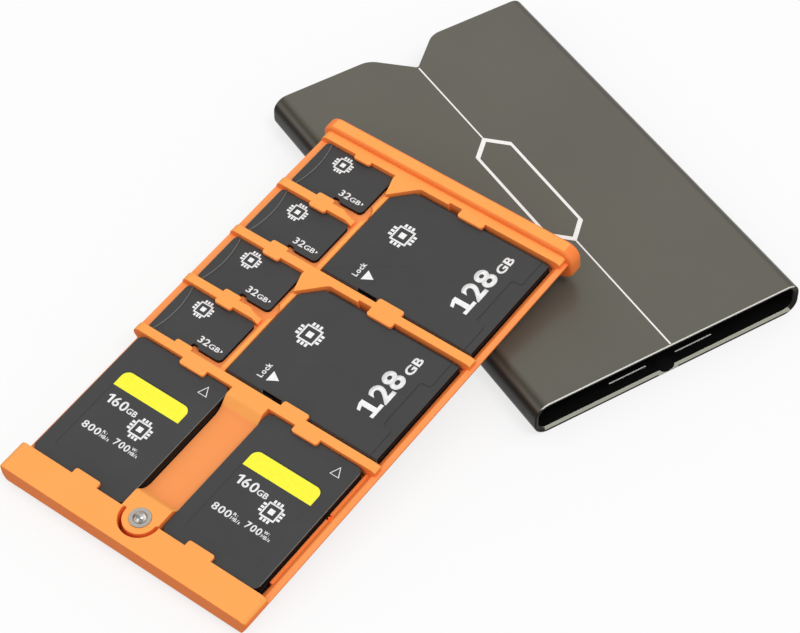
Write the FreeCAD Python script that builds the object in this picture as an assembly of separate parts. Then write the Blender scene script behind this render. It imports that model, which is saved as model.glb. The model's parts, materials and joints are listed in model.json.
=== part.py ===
"""Memory card case: a flat metal sleeve, the card tray taken out of it, and the eight cards in the tray.

The sleeve lies flat on z = 0 with its middle at the origin, its length along Y and its mouth at -Y.
The tray and the cards are drawn in the tray's own frame (x across, y from its bar to its flange, z up
from its underside) and then set down beside the sleeve, with the flange end lying over the sleeve.
"""
import FreeCAD
import Part
import math
import os

# Cutting allowance, used wherever a cutter or a joined piece runs past a face
overrun = 1.0

# Card sizes, in the card's own frame: x along the tray's width, y along the tray's length
micro_length = 15.0
micro_width = 11.0
micro_thickness = 1.0
micro_body_thickness = 0.8
micro_round = 0.9
micro_count = 4
sd_length = 32.0
sd_width = 24.0
sd_thickness = 2.1
sd_edge_thickness = 1.4
sd_edge_width = 0.7
sd_cut_corner = 4.0
sd_round = 0.8
sd_count = 2
cf_length = 28.0
cf_width = 20.0
cf_thickness = 2.8
cf_round = 1.2

# Tray walls, levels and plays
rail_width = 1.5
right_rail_width = 1.95
rail_drop = 1.4
rail_bevel_run = 0.85
rail_bevel_drop = 0.65
cf_left_rail_drop = 2.8
side_taper = 1.6
side_widest = 3.0
side_round = 1.0
foot_round = 1.2
divider_width = 1.55
divider_drop = 0.9
divider_step_width = 0.6
divider_step_drop = 0.6
rib_width = 1.75
bar_depth = 5.85
bar_front_round = 0.8
bar_low_round = 1.2
neck_depth = 1.75
floor_thickness = 1.3
left_play = 0.25
right_play = 0.25
row_play = 0.125
cf_end_play = 0.2
cf_left_play = 0.5
cf_right_play = 0.75
cf_strip_gap = 0.25
strip_thickness = 2.4
platform_reach = 3.8
platform_ramp = 1.7
strip_end_flat = 1.6
strip_end_ramp = 2.4
ramp_foot_round = 3.2
ramp_foot_run = 2.2
ramp_top_round = 0.9
ledge_width = 0.55
ledge_height = 2.9
ledge_inset = 3.2
ledge_break = 0.9
ledge_break_share = 0.58

# Retention tabs: length along the card's edge, reach over it, and place as a share of the card's width
tab_gap = 0.05
tab_thickness = 0.65
tab_round = 0.5
micro_tab_length = 3.6
micro_tab_reach = 0.8
micro_tab_place_share = 0.54
sd_tab_length = 5.4
sd_tab_reach = 1.15
sd_tab_place_share = 0.475
sd_tab_relief_length = 2.6
sd_tab_relief_depth = 0.5
cf_tab_length = 5.4
cf_tab_reach = 1.25
cf_tab_place_shares = (0.605, 0.41)

# Gussets that fill the cut corners of the large cards, and the scoops and ramps beside the small ones
gusset_play = 0.25
gusset_round = 1.2
gusset_tip = 1.05
gusset_tip_round = 0.2
gusset_foot = 0.7
scoop_radius = 2.4
scoop_bite = 0.6
scoop_inset = 1.0
rib_end_ramp = 1.2
rib_end_inset = 0.55

# Flange that closes the sleeve's mouth
flange_depth = 2.8
flange_inset = 0.3
flange_round = 0.6

# Sleeve
wall = 1.0
side_play = 0.2
lift_play = 0.15
sleeve_round = 2.75
tray_round_ease = 0.25
notch_width = 14.1
notch_depth = 6.45
notch_shoulder_round = 4.4
notch_root_round = 0.5
mouth_outer_chamfer = 0.2
mouth_inner_chamfer = 0.5
lip_width = 3.4
lip_depth = 0.65
lip_run = 3.0
ridge_length = 7.7
ridge_width = 0.25
ridge_height = 0.1
ridge_inset = 2.5
ridge_from_middle = 3.1

# Spring plunger that snaps into the sleeve's notch
ball_diameter = 2.6
ball_show = 0.75
ball_play = 0.03
plunger_back = 5.6
shell_diameter = 3.5
shell_rim_diameter = 3.8
shell_rim_show = 0.08
shell_rim_depth = 0.35
shell_floor = 0.3
shell_under = 0.5
spring_diameter = 2.0
spring_wire = 0.25
slit_radius = 3.45
slit_width = 0.7
slit_floor = 0.8

# Pieces inside and on the cards
pad_thickness = 0.1
micro_pad_count = 8
micro_pad_length = 2.8
micro_pad_width = 0.8
micro_pad_margin = 0.6
micro_pad_inset = 0.7
micro_step = 1.3
micro_notch_depth = 1.8
micro_notch_width = 0.9
micro_shoulder = 0.6
micro_step_place = 8.2
micro_lip_edge = 1.0
micro_lip_middle = 1.9
sd_split = 1.05
sd_shell_wall = 1.3
sd_cavity_floor = 0.45
sd_board_thickness = 0.6
sd_board_play = 0.15
sd_pad_count = 8
sd_pad_length = 4.2
sd_pad_width = 1.7
sd_pad_low_margin = 1.75
sd_pad_high_margin = 3.75
sd_pad_inset = 1.0
sd_end_drop = 0.12
sd_end_width = 1.45
sd_grip_width = 3.4
sd_grip_length = 10.5
sd_grip_round = 0.6
lock_slot_length = 4.2
lock_slot_depth = 1.0
lock_slot_place = 7.6
lock_length = 2.3
lock_play = 0.1
cf_split = 1.3
cf_shell_wall = 1.2
cf_cavity_floor = 0.5
cf_board_thickness = 0.8
cf_board_play = 0.15
cf_pad_count = 9
cf_pad_length = 3.0
cf_pad_width = 1.1
cf_pad_margin = 2.45
cf_pad_inset = 0.9
cf_label_depth = 0.08
cf_label_side_margin = 2.75
cf_label_low_margin = 2.85
cf_label_high_margin = 6.7
cf_label_round = 1.5

# How the tray lies by the sleeve: its turn, and where the middle of its flange stands over the sleeve
tray_turn_deg = -69.2
flange_rest_x = -16.8
flange_rest_y = 1.4
shoulder_gap = 0.3

# Tray layout across
inner_width = max(
    left_play + micro_length + left_play + divider_width + left_play + sd_length + right_play,
    cf_left_play + cf_width + cf_strip_gap + shell_rim_diameter + left_play + cf_width + cf_right_play,
)
tray_width = rail_width + inner_width + right_rail_width
half = tray_width / 2
inner_left = rail_width - half
inner_right = half - right_rail_width
micro_x = inner_left + left_play
sd_x = inner_right - right_play - sd_length
divider_right = sd_x - left_play
divider_left = divider_right - divider_width
cf_x = (inner_left + cf_left_play, inner_right - cf_right_play - cf_width)
strip_left = cf_x[0] + cf_width + cf_strip_gap
strip_right = cf_x[1] - left_play

# Tray layout along
row_pitch = max(
    micro_width + 2 * row_play + rib_width,
    (sd_width + 2 * row_play + rib_width) / sd_count,
)
cf_y = bar_depth + cf_end_play
cf_pocket_end = cf_y + cf_length + cf_end_play
rows_start = cf_pocket_end + rib_width
neck_start = rows_start + micro_count * row_pitch - rib_width
tray_length = neck_start + neck_depth
sd_pitch = row_pitch * micro_count / sd_count

# Levels
card_top = floor_thickness + cf_thickness
tray_height = card_top + tab_gap + tab_thickness
tab_low = card_top + tab_gap
rail_top = tray_height - rail_drop
cf_left_rail_top = tray_height - cf_left_rail_drop
divider_top = tray_height - divider_drop
micro_floor = card_top - micro_thickness
sd_floor = card_top - sd_thickness
cf_floor = floor_thickness

# Sleeve sizes follow the tray that it holds
sleeve_width = tray_width + 2 * (side_play + wall)
sleeve_height = tray_height + 2 * (lift_play + wall)
sleeve_length = tray_length
sleeve_half = sleeve_width / 2
mouth_y = -sleeve_length / 2
far_y = sleeve_length / 2
tray_round = sleeve_round - wall - tray_round_ease
flange_low = -lift_play - wall
flange_high = flange_low + sleeve_height


def vec(x, y, z=0):
    return FreeCAD.Vector(x, y, z)


def box(x0, x1, y0, y1, z0, z1):
    return Part.makeBox(x1 - x0, y1 - y0, z1 - z0, vec(x0, y0, z0))


def outline(corners):
    """Closed flat wire through corners (x, y, radius), each rounded by a tangent arc."""
    starts, ends, middles = [], [], []
    for i, (x, y, radius) in enumerate(corners):
        corner = vec(x, y)
        back = (vec(*corners[i - 1][:2]) - corner).normalize()
        ahead = (vec(*corners[(i + 1) % len(corners)][:2]) - corner).normalize()
        half_angle = back.getAngle(ahead) / 2
        tangent = radius / math.tan(half_angle)
        starts.append(corner + back * tangent)
        ends.append(corner + ahead * tangent)
        reach = radius / math.sin(half_angle) - radius
        middles.append(corner + (back + ahead).normalize() * reach)
    edges = []
    for i, (x, y, radius) in enumerate(corners):
        edges.append(Part.LineSegment(ends[i - 1], starts[i]).toShape())
        if radius > 0:
            edges.append(Part.Arc(starts[i], middles[i], ends[i]).toShape())
    return Part.Wire(edges)


def slab(corners, low, high):
    """Outline in the XY plane, raised from low to high."""
    flat = Part.Face(outline(corners))
    flat.translate(vec(0, 0, low))
    return flat.extrude(vec(0, 0, high - low))


def along_y(corners, start, end):
    """Section (x, z, radius) drawn out along Y."""
    piece = slab(corners, -end, -start)
    piece.rotate(vec(0, 0, 0), vec(1, 0, 0), 90)
    return piece


def along_x(corners, start, end):
    """Profile (y, z, radius) drawn out along X."""
    piece = slab(corners, start, end)
    piece.rotate(vec(0, 0, 0), vec(1, 1, 1), 120)
    return piece


def rectangle(x0, x1, y0, y1, radius):
    return [(x0, y0, radius), (x1, y0, radius), (x1, y1, radius), (x0, y1, radius)]


def rod(radius, low, high, x=0, y=0):
    return Part.makeCylinder(radius, high - low, vec(x, y, low))


def mouth_edges(body, inner):
    """Edges of the sleeve's mouth, on the bore or on the outside."""
    bore = sleeve_half - wall / 2
    roof = sleeve_height - wall / 2
    found = []
    for edge in body.Edges:
        bounds = edge.BoundBox
        at_mouth = bounds.YMax < mouth_y + wall / 2
        inside = max(bounds.XMax, -bounds.XMin) < bore and bounds.ZMax < roof and bounds.ZMin > wall / 2
        if at_mouth and inside == inner:
            found.append(edge)
    return found


def make_sleeve():
    """Drawn tube with a thumb notch at the far end and an eased, ball-friendly mouth."""
    outside = rectangle(-sleeve_half, sleeve_half, 0, sleeve_height, sleeve_round)
    bore_half = sleeve_half - wall
    inside = rectangle(-bore_half, bore_half, wall, sleeve_height - wall, sleeve_round - wall)
    tube = along_y(outside, mouth_y - overrun, far_y + overrun)
    tube = tube.cut(along_y(inside, mouth_y - 2 * overrun, far_y + 2 * overrun))
    wide = sleeve_half + overrun
    plan = [
        (-wide, mouth_y, 0),
        (wide, mouth_y, 0),
        (wide, far_y, 0),
        (notch_width / 2, far_y, notch_shoulder_round),
        (0, far_y - notch_depth, notch_root_round),
        (-notch_width / 2, far_y, notch_shoulder_round),
        (-wide, far_y, 0),
    ]
    tube = tube.common(slab(plan, -overrun, sleeve_height + overrun))
    tube = tube.makeChamfer(mouth_inner_chamfer, mouth_edges(tube, True))
    tube = tube.makeChamfer(mouth_outer_chamfer, mouth_edges(tube, False))
    for side in (-1, 1):
        near, far = sorted((side * ridge_from_middle, side * (ridge_from_middle + ridge_length)))
        low_y = mouth_y + ridge_inset - ridge_width / 2
        tube = tube.fuse(box(near, far, low_y, low_y + ridge_width, wall / 2, wall + ridge_height))
    scoop_round = (lip_width**2 / 4 + lip_depth**2) / (2 * lip_depth)
    slope = math.atan2(lip_depth, lip_run)
    run = lip_run + overrun
    start = vec(0, mouth_y - overrun, wall - lip_depth + scoop_round - overrun * math.tan(slope))
    heading = vec(0, math.cos(slope), math.sin(slope))
    scoop = Part.makeCylinder(scoop_round, run / math.cos(slope), start, heading)
    return tube.cut(scoop).removeSplitter()


def tray_block():
    """Bar, rails and neck in one: the tray's outside before any pocket is cut."""
    foot = half - side_taper
    section = [
        (-foot, 0, foot_round),
        (foot, 0, foot_round),
        (half, side_widest, side_round),
        (half, tray_height, tray_round),
        (-half, tray_height, tray_round),
        (-half, side_widest, side_round),
    ]
    block = along_y(section, -overrun, tray_length + overrun)
    wide = half + overrun
    end = tray_length
    plan = [(-half, 0, bar_front_round), (half, 0, bar_front_round), (half, end, 0), (-half, end, 0)]
    block = block.common(slab(plan, -overrun, tray_height + overrun))
    high = tray_height + overrun
    profile = [(0, 0, bar_low_round), (end + overrun, 0, 0), (end + overrun, high, 0), (0, high, 0)]
    return block.common(along_x(profile, -wide, wide))


def row_start(row):
    return rows_start + row * row_pitch


def sd_start(card):
    """Near edge of a large pocket; the first one is next to the flange."""
    return rows_start + (sd_count - 1 - card) * sd_pitch


def micro_start(card):
    return row_start(micro_count - 1 - card)


def gusset(pocket_end):
    """Web across the cut corner of a large card, from the divider to the rib above."""
    cut = sd_cut_corner - gusset_play
    foot = divider_left - left_play / 2
    tip = divider_left + gusset_tip
    corners = [
        (foot, pocket_end + overrun, 0),
        (foot, pocket_end - gusset_foot, 0),
        (tip, pocket_end - (sd_x + cut - tip), gusset_tip_round),
        (sd_x + cut, pocket_end, gusset_round),
        (sd_x + cut + gusset_round, pocket_end, 0),
        (sd_x + cut + gusset_round, pocket_end + overrun, 0),
    ]
    return slab(corners, 0, tray_height)


def make_tray():
    body = tray_block()
    high = tray_height + overrun
    wide = half + overrun
    # Open rows between the ribs: everything above the rails goes
    body = body.cut(box(-wide, wide, bar_depth, cf_pocket_end, rail_top, high))
    body = body.cut(box(-wide, inner_left, bar_depth, cf_pocket_end, cf_left_rail_top, high))
    for row in range(micro_count):
        end = row_start(row + 1) - rib_width
        body = body.cut(box(-wide, divider_right, row_start(row), end, rail_top, high))
    for card in range(sd_count):
        end = sd_start(card) + sd_pitch - rib_width
        body = body.cut(box(divider_left, wide, sd_start(card), end, rail_top, high))
    body = body.cut(box(half - rib_end_inset, wide, bar_depth, tray_length, rail_top, high))
    # Wall between the small and the large cards, with a low step on the small cards' side
    step = divider_left + divider_step_width
    wall_low = divider_top - divider_step_drop
    body = body.fuse(box(step, divider_right, rows_start, neck_start, micro_floor, divider_top))
    body = body.fuse(box(divider_left, step, rows_start, neck_start, micro_floor, wall_low))
    # Pockets
    for row in range(micro_count):
        end = row_start(row + 1) - rib_width
        body = body.cut(box(inner_left, divider_left, row_start(row), end, micro_floor, high))
    for card in range(sd_count):
        end = sd_start(card) + sd_pitch - rib_width
        body = body.cut(box(divider_right, inner_right, sd_start(card), end, sd_floor, high))
        body = body.fuse(gusset(end))
        tab_start = sd_x + sd_length * sd_tab_place_share - sd_tab_length / 2
        relief_start = tab_start - sd_tab_relief_length
        relief_end = end + sd_tab_relief_depth
        body = body.cut(box(relief_start, tab_start, end - overrun, relief_end, sd_floor, high))
    # Ribs between two small cards: a finger scoop, and a ramp down to the wall beside them
    ramp_start = divider_left - rib_end_ramp
    wedge = [
        (ramp_start, tray_height, 0),
        (divider_left, divider_top, 0),
        (divider_left, high, 0),
        (ramp_start, high, 0),
    ]
    for row in range(1, micro_count, 2):
        x = divider_left - scoop_inset
        y = row_start(row) + scoop_radius - scoop_bite
        body = body.cut(rod(scoop_radius, micro_floor, high, x, y))
        body = body.cut(along_y(wedge, row_start(row) - rib_width, row_start(row)))
    # Strip between the two flat cards, rising softly to the plunger's platform and to the rib
    body = body.cut(box(strip_left, strip_right, bar_depth, cf_pocket_end, strip_thickness, high))
    platform_end = bar_depth + platform_reach
    foot = platform_end + platform_ramp
    platform = [
        (bar_depth - overrun, 0, 0),
        (foot + ramp_foot_run, 0, 0),
        (foot + ramp_foot_run, strip_thickness, 0),
        (foot, strip_thickness, ramp_foot_round),
        (platform_end, tray_height, ramp_top_round),
        (bar_depth - overrun, tray_height, 0),
    ]
    body = body.fuse(along_x(platform, strip_left, strip_right))
    flat_end = cf_pocket_end - strip_end_flat
    foot = flat_end - strip_end_ramp
    rise = [
        (foot - ramp_foot_run, 0, 0),
        (cf_pocket_end + overrun, 0, 0),
        (cf_pocket_end + overrun, tray_height, 0),
        (flat_end, tray_height, ramp_top_round),
        (foot, strip_thickness, ramp_foot_round),
        (foot - ramp_foot_run, strip_thickness, 0),
    ]
    body = body.fuse(along_x(rise, strip_left, strip_right))
    pocket_sides = ((inner_left, strip_left), (strip_right, inner_right))
    for left, right in pocket_sides:
        body = body.cut(box(left, right, bar_depth, cf_pocket_end, cf_floor, high))
    # Low ledge along the right rail, broken once
    ledge_start = bar_depth + ledge_inset
    ledge_split = ledge_start + (cf_pocket_end - ledge_start) * ledge_break_share
    rail_middle = inner_right + right_rail_width / 2
    for start, end in ((ledge_start, ledge_split), (ledge_split + ledge_break, cf_pocket_end)):
        body = body.fuse(box(inner_right - ledge_width, rail_middle, start, end, cf_floor, ledge_height))
    # The right rail slopes down to the pockets
    slope = [
        (inner_right, rail_top - rail_bevel_drop, 0),
        (inner_right + rail_bevel_run, rail_top, 0),
        (inner_right + rail_bevel_run, high, 0),
        (inner_right, high, 0),
    ]
    body = body.cut(along_y(slope, bar_depth, cf_pocket_end))
    for card in range(sd_count):
        body = body.cut(along_y(slope, sd_start(card), sd_start(card) + sd_pitch - rib_width))
    # Flange with the sleeve's outline, a little narrower
    flange_half = sleeve_half - flange_inset
    section = rectangle(-flange_half, flange_half, flange_low, flange_high, sleeve_round)
    flange = along_y(section, tray_length, tray_length + flange_depth)
    rims = [edge for edge in flange.Edges if edge.BoundBox.YLength < flange_round / 2]
    flange = flange.makeFillet(flange_round, rims)
    body = body.fuse(flange)
    # Seat of the plunger and the groove round it
    body = body.cut(rod(shell_diameter / 2, shell_under, high, 0, plunger_back))
    rim_seat = tray_height + shell_rim_show - shell_rim_depth
    body = body.cut(rod(shell_rim_diameter / 2, rim_seat, high, 0, plunger_back))
    slit = rod(slit_radius + slit_width / 2, slit_floor, high, 0, plunger_back)
    slit = slit.cut(rod(slit_radius - slit_width / 2, slit_floor, high, 0, plunger_back))
    slit = slit.cut(box(-half, half, plunger_back, tray_length, slit_floor, high))
    for side in (-1, 1):
        slit = slit.fuse(rod(slit_width / 2, slit_floor, high, side * slit_radius, plunger_back))
    return body.cut(slit).removeSplitter()


def tab(middle, length, edge_y, reach):
    """Lip from a rib, the bar or the neck over a card's edge; a negative reach points at -Y."""
    tip = edge_y + reach
    start = middle - length / 2
    end = middle + length / 2
    if reach > 0:
        corners = [(start, edge_y, 0), (end, edge_y, 0), (end, tip, tab_round), (start, tip, tab_round)]
    else:
        corners = [(start, tip, tab_round), (end, tip, tab_round), (end, edge_y, 0), (start, edge_y, 0)]
    return slab(corners, tab_low, tray_height)


def tab_pair(middle, length, reach, low_y, high_y):
    return Part.makeCompound([tab(middle, length, low_y, reach), tab(middle, length, high_y, -reach)])


def make_plunger():
    """Shell with a rolled rim, a ball held under the rim and the spring below it."""
    y = plunger_back
    radius = ball_diameter / 2
    rim_top = tray_height + shell_rim_show
    ball_middle = rim_top + ball_show - radius
    aperture = math.sqrt(radius**2 - (radius - ball_show)**2) + ball_play
    shell = rod(shell_diameter / 2, shell_under, rim_top, 0, y)
    shell = shell.fuse(rod(shell_rim_diameter / 2, rim_top - shell_rim_depth, rim_top, 0, y))
    bore = radius + ball_play
    spring_low = shell_under + shell_floor
    shell = shell.cut(rod(bore, spring_low, ball_middle, 0, y))
    shell = shell.cut(Part.makeSphere(bore, vec(0, y, ball_middle)))
    shell = shell.cut(rod(aperture, ball_middle, rim_top + overrun, 0, y))
    ball = Part.makeSphere(radius, vec(0, y, ball_middle))
    outer = spring_diameter / 2
    inner = outer - spring_wire
    spring = rod(outer, spring_low, ball_middle, 0, y).cut(rod(inner, spring_low, ball_middle, 0, y))
    spring = spring.cut(Part.makeSphere(bore, vec(0, y, ball_middle)))
    return shell.removeSplitter(), ball, spring


def pad_starts(count, width, low, high):
    """Near edges of count contacts of one width, spread evenly from low to high."""
    pitch = (high - low - width) / (count - 1)
    return [low + i * pitch for i in range(count)]


def make_micro():
    """Small card in its own frame, with its thick grip end at x = 0, and its contacts."""
    length, width = micro_length, micro_width
    step = micro_step_place
    notch_end = step + micro_shoulder + micro_notch_width
    shape = [
        (0, 0, micro_round),
        (step, 0, 0),
        (step + micro_shoulder, micro_notch_depth, 0),
        (notch_end, micro_notch_depth, 0),
        (notch_end + micro_shoulder, micro_step, 0),
        (length, micro_step, micro_round),
        (length, width, micro_round),
        (0, width, micro_round),
    ]
    body = slab(shape, 0, micro_body_thickness)
    start = vec(micro_lip_edge, 0)
    middle = vec(micro_lip_middle, width / 2)
    end = vec(micro_lip_edge, width)
    far = overrun
    edges = [
        Part.Arc(start, middle, end).toShape(),
        Part.LineSegment(end, vec(-far, width)).toShape(),
        Part.LineSegment(vec(-far, width), vec(-far, 0)).toShape(),
        Part.LineSegment(vec(-far, 0), start).toShape(),
    ]
    lip = Part.Face(Part.Wire(edges)).extrude(vec(0, 0, micro_thickness))
    body = body.fuse(lip.common(slab(shape, 0, micro_thickness)))
    pad_end = length - micro_pad_inset
    first = micro_step + micro_pad_margin
    pads = []
    for y in pad_starts(micro_pad_count, micro_pad_width, first, width - micro_pad_margin):
        pads.append(box(pad_end - micro_pad_length, pad_end, y, y + micro_pad_width, 0, pad_thickness))
    body = body.cut(Part.makeCompound(pads)).removeSplitter()
    return body, Part.makeCompound(pads)


def sd_shape(inset=0):
    """Outline of the large card with its cut corner at the leading end, drawn in by inset."""
    low = inset
    right = sd_length - inset
    high = sd_width - inset
    cut = sd_cut_corner
    corner = max(sd_round - inset, 0)
    return [
        (low, low, corner),
        (right, low, corner),
        (right, high, corner),
        (low + cut, high, 0),
        (low, high - cut, 0),
    ]


def sd_end():
    """Outline of the large card's lowered trailing end, with the wider grip in its middle."""
    start = sd_length - sd_end_width
    grip = sd_length - sd_grip_width
    low = (sd_width - sd_grip_length) / 2
    high = sd_width - low
    far = sd_length + overrun
    return [
        (start, -overrun, 0),
        (far, -overrun, 0),
        (far, sd_width + overrun, 0),
        (start, sd_width + overrun, 0),
        (start, high, sd_grip_round),
        (grip, high, sd_grip_round),
        (grip, low, sd_grip_round),
        (start, low, sd_grip_round),
    ]


def make_sd():
    """Large card in its own frame: two shell halves, the board between them and the lock slider."""
    high = sd_thickness + overrun
    slot_end = lock_slot_place + lock_slot_length
    slot = box(lock_slot_place, slot_end, -overrun, lock_slot_depth, -overrun, high)
    cover = slab(sd_shape(), sd_split, sd_thickness)
    for y0, y1 in ((-overrun, sd_edge_width), (sd_width - sd_edge_width, sd_width + overrun)):
        cover = cover.cut(box(-overrun, sd_length + overrun, y0, y1, sd_edge_thickness, high))
    cover = cover.cut(slab(sd_end(), sd_thickness - sd_end_drop, high))
    base = slab(sd_shape(), 0, sd_split)
    roof = sd_thickness - sd_cavity_floor
    cavity = slab(sd_shape(sd_shell_wall), sd_cavity_floor, roof)
    inset = sd_shell_wall + sd_board_play
    board = slab(sd_shape(inset), sd_cavity_floor, sd_cavity_floor + sd_board_thickness)
    cover = cover.cut(cavity).cut(slot).removeSplitter()
    base = base.cut(cavity).cut(slot)
    pad_end = sd_pad_inset + sd_pad_length
    pad_high = sd_cavity_floor + sd_board_thickness / 2
    last = sd_width - sd_pad_high_margin
    for y in pad_starts(sd_pad_count, sd_pad_width, sd_pad_low_margin, last):
        y_end = y + sd_pad_width
        base = base.cut(box(sd_pad_inset, pad_end, y, y_end, -overrun, sd_cavity_floor + overrun))
        board = board.fuse(box(sd_pad_inset, pad_end, y, y_end, pad_thickness, pad_high))
    lock_start = lock_slot_place + lock_play
    lock_back = lock_slot_depth - lock_play
    lock = box(lock_start, lock_start + lock_length, 0, lock_back, lock_play, sd_edge_thickness)
    return cover, base.removeSplitter(), board.removeSplitter(), lock


def make_cf():
    """Flat card in its own frame: two shell halves and the contact board between them."""
    shape = rectangle(0, cf_width, 0, cf_length, cf_round)
    cover = slab(shape, cf_split, cf_thickness)
    base = slab(shape, 0, cf_split)
    label = [
        (cf_label_side_margin, cf_label_low_margin, 0),
        (cf_width - cf_label_side_margin, cf_label_low_margin, 0),
        (cf_width - cf_label_side_margin, cf_length - cf_label_high_margin, cf_label_round),
        (cf_label_side_margin, cf_length - cf_label_high_margin, cf_label_round),
    ]
    cover = cover.cut(slab(label, cf_thickness - cf_label_depth, cf_thickness + overrun))
    side = cf_shell_wall
    roof = cf_thickness - cf_cavity_floor
    cavity = box(side, cf_width - side, side, cf_length - side, cf_cavity_floor, roof)
    inset = side + cf_board_play
    board_high = cf_cavity_floor + cf_board_thickness
    board = box(inset, cf_width - inset, inset, cf_length - inset, cf_cavity_floor, board_high)
    cover = cover.cut(cavity).removeSplitter()
    base = base.cut(cavity)
    pad_end = cf_length - cf_pad_inset
    pad_start = pad_end - cf_pad_length
    pad_high = cf_cavity_floor + cf_board_thickness / 2
    for x in pad_starts(cf_pad_count, cf_pad_width, cf_pad_margin, cf_width - cf_pad_margin):
        x_end = x + cf_pad_width
        base = base.cut(box(x, x_end, pad_start, pad_end, -overrun, cf_cavity_floor + overrun))
        board = board.fuse(box(x, x_end, pad_start, pad_end, pad_thickness, pad_high))
    return cover, base.removeSplitter(), board.removeSplitter()


def rest_tilt():
    """Tilt at which the tray's bar lies on the floor and its right edge clears the sleeve's shoulder."""
    turn = math.radians(tray_turn_deg)
    shoulder_x = sleeve_round - sleeve_half
    short_of_flange = (shoulder_x - flange_rest_x - half * math.cos(turn)) / -math.sin(turn)
    rise = sleeve_height + shoulder_gap
    tilt = 0
    for _ in range(40):
        tilt = math.asin((rise - short_of_flange * math.tan(tilt)) / tray_length)
    return tilt


def tray_placement():
    tilt = rest_tilt()
    turn = math.radians(tray_turn_deg)
    reach = tray_length * math.cos(tilt)
    middle = vec(flange_rest_x + reach * math.sin(turn), flange_rest_y - reach * math.cos(turn))
    spin = FreeCAD.Rotation(vec(0, 0, 1), tray_turn_deg)
    lift = FreeCAD.Rotation(vec(1, 0, 0), math.degrees(tilt))
    return FreeCAD.Placement(middle, spin.multiply(lift))


def moved(shape, x, y, z):
    copy = shape.copy()
    copy.translate(vec(x, y, z))
    return copy


def tray_nodes():
    """Everything that rides in the tray, in the tray's own frame."""
    nodes = {"tray": make_tray()}
    nodes["plunger_shell"], nodes["plunger_ball"], nodes["plunger_spring"] = make_plunger()
    card, contacts = make_micro()
    for i in range(micro_count):
        name = str(i + 1)
        low = micro_start(i)
        high = low + row_pitch - rib_width
        y = (low + high - micro_width) / 2
        nodes["micro_card_" + name] = moved(card, micro_x, y, micro_floor)
        nodes["micro_contacts_" + name] = moved(contacts, micro_x, y, micro_floor)
        middle = micro_x + micro_length * micro_tab_place_share
        nodes["micro_tabs_" + name] = tab_pair(middle, micro_tab_length, micro_tab_reach, low, high)
    sd_pieces = dict(zip(("sd_cover_", "sd_base_", "sd_board_", "sd_lock_"), make_sd()))
    for i in range(sd_count):
        name = str(i + 1)
        low = sd_start(i)
        high = low + sd_pitch - rib_width
        y = (low + high - sd_width) / 2
        for kind, piece in sd_pieces.items():
            nodes[kind + name] = moved(piece, sd_x, y, sd_floor)
        middle = sd_x + sd_length * sd_tab_place_share
        nodes["sd_tabs_" + name] = tab_pair(middle, sd_tab_length, sd_tab_reach, low, high)
    cf_pieces = dict(zip(("cf_cover_", "cf_base_", "cf_board_"), make_cf()))
    for i, x in enumerate(cf_x):
        name = str(i + 1)
        for kind, piece in cf_pieces.items():
            nodes[kind + name] = moved(piece, x, cf_y, cf_floor)
        middle = x + cf_width * cf_tab_place_shares[i]
        nodes["cf_tabs_" + name] = tab_pair(middle, cf_tab_length, cf_tab_reach, bar_depth, cf_pocket_end)
    return nodes


def main():
    nodes = {"sleeve": make_sleeve()}
    placement = tray_placement()
    for name, shape in tray_nodes().items():
        shape.Placement = placement.multiply(shape.Placement)
        nodes[name] = shape
    os.makedirs("parts", exist_ok=True)
    for name, shape in nodes.items():
        shape.exportStep("parts/" + name + ".step")
        print(name, shape.isValid(), len(shape.Solids), round(shape.Volume, 3))


main()
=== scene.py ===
"""Looks of the memory card case: eased edges, finishes, printed marks, stage, lights and camera.

Lengths are written in millimetres and turned to metres by MM. The tray and the cards are dressed in the
tray's own directions: across (to its right rail), along (from its bar to its flange) and out (off the faces
of the cards).
"""
import json
import math

import bmesh
import bpy
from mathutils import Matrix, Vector
from mathutils.bvhtree import BVHTree


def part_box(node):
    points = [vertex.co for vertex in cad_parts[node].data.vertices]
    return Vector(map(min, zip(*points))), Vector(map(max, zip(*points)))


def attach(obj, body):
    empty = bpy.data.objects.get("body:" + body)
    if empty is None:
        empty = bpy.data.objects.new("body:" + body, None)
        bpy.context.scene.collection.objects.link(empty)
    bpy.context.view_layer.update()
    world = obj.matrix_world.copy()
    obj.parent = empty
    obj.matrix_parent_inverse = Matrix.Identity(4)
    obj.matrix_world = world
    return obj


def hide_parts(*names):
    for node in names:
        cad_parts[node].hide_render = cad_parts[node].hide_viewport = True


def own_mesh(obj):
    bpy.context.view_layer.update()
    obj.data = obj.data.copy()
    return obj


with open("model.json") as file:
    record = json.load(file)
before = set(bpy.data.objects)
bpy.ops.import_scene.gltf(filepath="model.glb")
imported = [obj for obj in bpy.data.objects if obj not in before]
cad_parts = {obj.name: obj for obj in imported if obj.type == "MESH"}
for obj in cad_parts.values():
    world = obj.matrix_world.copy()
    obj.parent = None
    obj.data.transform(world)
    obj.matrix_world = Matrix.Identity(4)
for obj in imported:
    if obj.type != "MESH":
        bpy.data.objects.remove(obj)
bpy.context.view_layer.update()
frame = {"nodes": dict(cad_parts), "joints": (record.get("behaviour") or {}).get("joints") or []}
nodes = frame["nodes"]
axes = {joint["name"]: Vector(joint["axis"]).normalized() for joint in frame["joints"]}

MM = 0.001
micro_cards = (1, 2, 3, 4)
large_cards = (1, 2)
flat_cards = (1, 2)

# Directions of the tray, and of everything printed on its cards
along = axes["tray_slide"]
out = axes["micro_1_lift"]
across = along.cross(out)

# Camera: it stands where the photograph was taken from, with a long lens
sensor_width = 36.0
lens_length = 117.44
camera_azimuth = -31.7
camera_elevation = 48.2
camera_distance = 458.58
camera_target = (-32.61, -8.73, 0)
camera_near = 10.0
camera_far = 100000.0

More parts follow.
